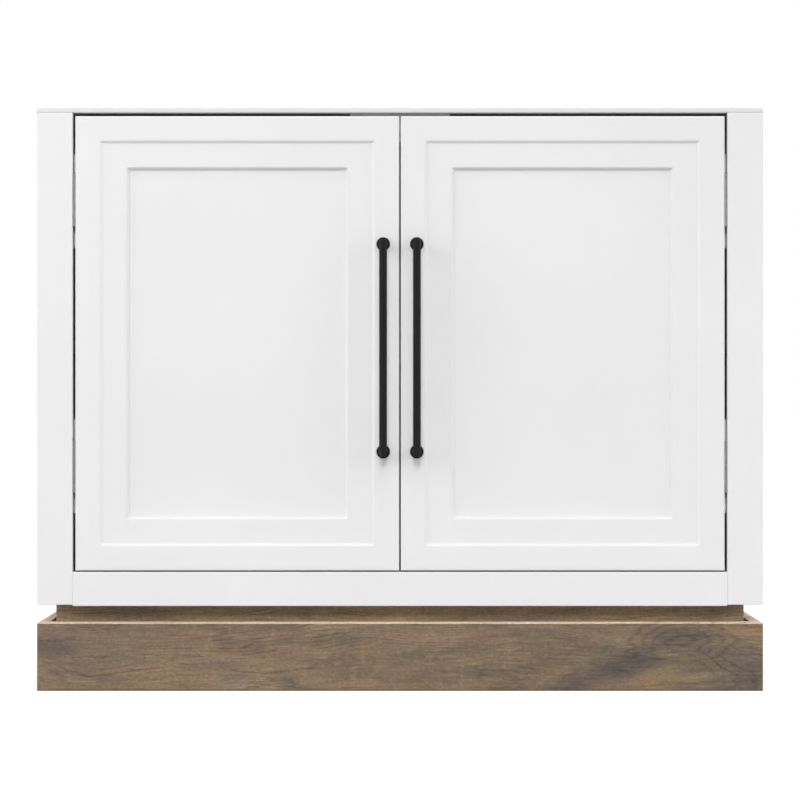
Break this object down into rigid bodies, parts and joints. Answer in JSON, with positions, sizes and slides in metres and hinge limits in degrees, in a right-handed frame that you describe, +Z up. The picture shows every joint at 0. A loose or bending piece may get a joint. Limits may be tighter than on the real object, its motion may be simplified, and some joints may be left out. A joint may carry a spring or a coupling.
{
  "type": "two-door storage cabinet",
  "caption": "White framed storage cabinet with a pair of stepped recessed-panel doors, long black bar handles and a stained wood plinth set off by a shadow gap.",
  "frame": {"origin": "on the floor, under the middle of the whole outline, handles included", "axes": "+X along the width to the right as seen from the front, +Y towards the back, +Z up; the doors face -Y"},
  "size_m": [1.067, 0.581, 0.8565],
  "materials": {
    "white_lacquer": "white satin lacquer",
    "stained_wood": "grey-brown stain, matt",
    "birch_ply": "clear matt lacquer",
    "dowel_wood": "bare",
    "black_metal": "matt black powder coat",
    "nickel_steel": "satin nickel plate",
    "catch_plastic": "moulded",
    "magnet": "sintered"
  },
  "bodies": {
    "cabinet": {"back_panel": "birch_ply", "base_back_board": "birch_ply", "base_front_board": "stained_wood", "base_left_board": "stained_wood", "base_right_board": "stained_wood", "bottom_panel": "birch_ply", "bottom_rail": "white_lacquer", "cabinet_wood_screws": "nickel_steel", "carcass_dowels": "dowel_wood", "catch_block": "white_lacquer", "catch_housing": "catch_plastic", "catch_magnets": "magnet", "front_top_rail": "birch_ply", "hinge_pins": "nickel_steel", "left_hinge_frame_leaves": "nickel_steel", "left_lower_stop_block": "white_lacquer", "left_side_panel": "white_lacquer", "left_stile": "white_lacquer", "left_upper_stop_block": "white_lacquer", "plinth_front_board": "stained_wood", "plinth_left_board": "stained_wood", "plinth_left_spacer_block": "birch_ply", "plinth_left_spacer_strip": "birch_ply", "plinth_middle_spacer_block": "birch_ply", "plinth_right_board": "stained_wood", "plinth_right_spacer_block": "birch_ply", "plinth_right_spacer_strip": "birch_ply", "plinth_screws": "nickel_steel", "rear_top_rail": "birch_ply", "right_hinge_frame_leaves": "nickel_steel", "right_lower_stop_block": "white_lacquer", "right_side_panel": "white_lacquer", "right_stile": "white_lacquer", "right_upper_stop_block": "white_lacquer", "shelf": "birch_ply", "shelf_pins": "nickel_steel", "top_panel": "white_lacquer"},
    "left_door": {"left_door_bottom_rail": "white_lacquer", "left_door_hinge_stile": "white_lacquer", "left_door_lock_stile": "white_lacquer", "left_door_panel": "white_lacquer", "left_door_top_rail": "white_lacquer", "left_door_wood_screws": "nickel_steel", "left_handle_bar": "black_metal", "left_handle_posts": "black_metal", "left_handle_screws": "nickel_steel", "left_hinge_door_leaves": "nickel_steel", "left_strike_plate": "nickel_steel"},
    "right_door": {"right_door_bottom_rail": "white_lacquer", "right_door_hinge_stile": "white_lacquer", "right_door_lock_stile": "white_lacquer", "right_door_panel": "white_lacquer", "right_door_top_rail": "white_lacquer", "right_door_wood_screws": "nickel_steel", "right_handle_bar": "black_metal", "right_handle_posts": "black_metal", "right_handle_screws": "nickel_steel", "right_hinge_door_leaves": "nickel_steel", "right_strike_plate": "nickel_steel"}
  },
  "joints": [
    {"name": "left_door_swing", "type": "hinge", "parent": "cabinet", "child": "left_door", "pos_m": [-0.479, -0.2535, 0.5106], "axis": [0, 0, -1], "range_deg": [0, 105]},
    {"name": "right_door_swing", "type": "hinge", "parent": "cabinet", "child": "right_door", "pos_m": [0.479, -0.2535, 0.5106], "axis": [0, 0, 1], "range_deg": [0, 105]}
  ]
}
